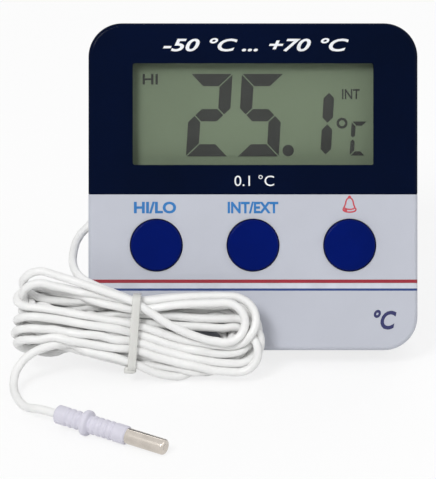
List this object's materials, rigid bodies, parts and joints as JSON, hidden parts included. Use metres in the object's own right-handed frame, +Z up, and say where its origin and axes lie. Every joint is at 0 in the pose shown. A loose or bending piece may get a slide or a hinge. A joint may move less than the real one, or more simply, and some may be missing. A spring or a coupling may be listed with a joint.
{
  "type": "digital thermometer",
  "caption": "Square desk thermometer with a large display, round buttons, a fold-out rear leg, a keyhole and a wired probe on a tied hank of cord.",
  "frame": {"origin": "on the surface it stands on, under the middle of the housing and its opened leg", "axes": "+X to the right as seen from the front, +Y to the back, +Z up"},
  "size_m": [0.0961, 0.0951, 0.0766],
  "materials": {
    "pale_plastic": "fine satin moulded",
    "navy_plate": "high gloss",
    "clear_window": "clear gloss",
    "display_glass": "satin polariser film",
    "display_figures": "dark liquid crystal",
    "display_back": "grey-green reflector",
    "grey_foam": "closed-cell foam",
    "zebra_rubber": "layered silicone",
    "board_green": "solder mask",
    "bright_steel": "plated",
    "black_plastic": "matt black",
    "switch_pin": "matt black",
    "slider_plastic": "matt",
    "chip_ceramic": "ceramic",
    "crystal_can": "drawn can",
    "sensor_resin": "dipped resin",
    "cell_jacket": "plain jacket",
    "tinned_wire": "tinned",
    "button_blue": "satin gloss",
    "gland_rubber": "matt",
    "cord_white": "soft PVC",
    "tie_plastic": "ribbon",
    "sleeve_plastic": "soft moulded",
    "nickel_tip": "polished nickel"
  },
  "bodies": {
    "case": {"front_shell": "pale_plastic", "rear_shell": "pale_plastic", "display_panel": "navy_plate", "display_window": "clear_window", "display_glass": "display_glass", "display_segments": "display_figures", "display_backing": "display_back", "display_foam": "grey_foam", "zebra_strip": "zebra_rubber", "circuit_board": "board_green", "case_screws": "bright_steel", "board_screws": "bright_steel", "stand_pin": "bright_steel", "battery_spring": "bright_steel", "battery_plate": "bright_steel", "chip_blob": "black_plastic", "piezo_buzzer": "black_plastic", "unit_switch": "black_plastic", "switch_left": "black_plastic", "switch_middle": "black_plastic", "switch_right": "black_plastic", "board_parts": "chip_ceramic", "crystal": "crystal_can", "room_sensor": "sensor_resin", "probe_bead": "sensor_resin", "battery": "cell_jacket", "battery_leads": "tinned_wire", "cord_gland": "gland_rubber", "cord_lead": "cord_white", "cord_tail": "cord_white", "cord_hank": "cord_white", "hank_tie": "tie_plastic", "probe_sleeve": "sleeve_plastic", "probe_tip": "nickel_tip"},
    "stand": {"stand_leg": "pale_plastic"},
    "battery_door": {"battery_door": "pale_plastic"},
    "button_left": {"plunger_left": "switch_pin", "button_left": "button_blue"},
    "button_middle": {"plunger_middle": "switch_pin", "button_middle": "button_blue"},
    "button_right": {"plunger_right": "switch_pin", "button_right": "button_blue"},
    "unit_slider": {"unit_slider": "slider_plastic"}
  },
  "joints": [
    {"name": "stand_hinge", "type": "hinge", "parent": "case", "child": "stand", "pos_m": [0, 0.00792, 0.03664], "axis": [1, 0, 0], "range_deg": [-42, 0]},
    {"name": "door_slide", "type": "slide", "parent": "case", "child": "battery_door", "axis": [0, 0.3746, 0.9272], "range_m": [0, 0.022]},
    {"name": "unit_slide", "type": "slide", "parent": "case", "child": "unit_slider", "axis": [1, 0, 0], "range_m": [0, 0.0025]},
    {"name": "press_left", "type": "slide", "parent": "case", "child": "button_left", "axis": [0, 0.9272, -0.3746], "range_m": [0, 0.0006], "stiffness_N_per_m": 300},
    {"name": "press_middle", "type": "slide", "parent": "case", "child": "button_middle", "axis": [0, 0.9272, -0.3746], "range_m": [0, 0.0006], "stiffness_N_per_m": 300},
    {"name": "press_right", "type": "slide", "parent": "case", "child": "button_right", "axis": [0, 0.9272, -0.3746], "range_m": [0, 0.0006], "stiffness_N_per_m": 300}
  ]
}
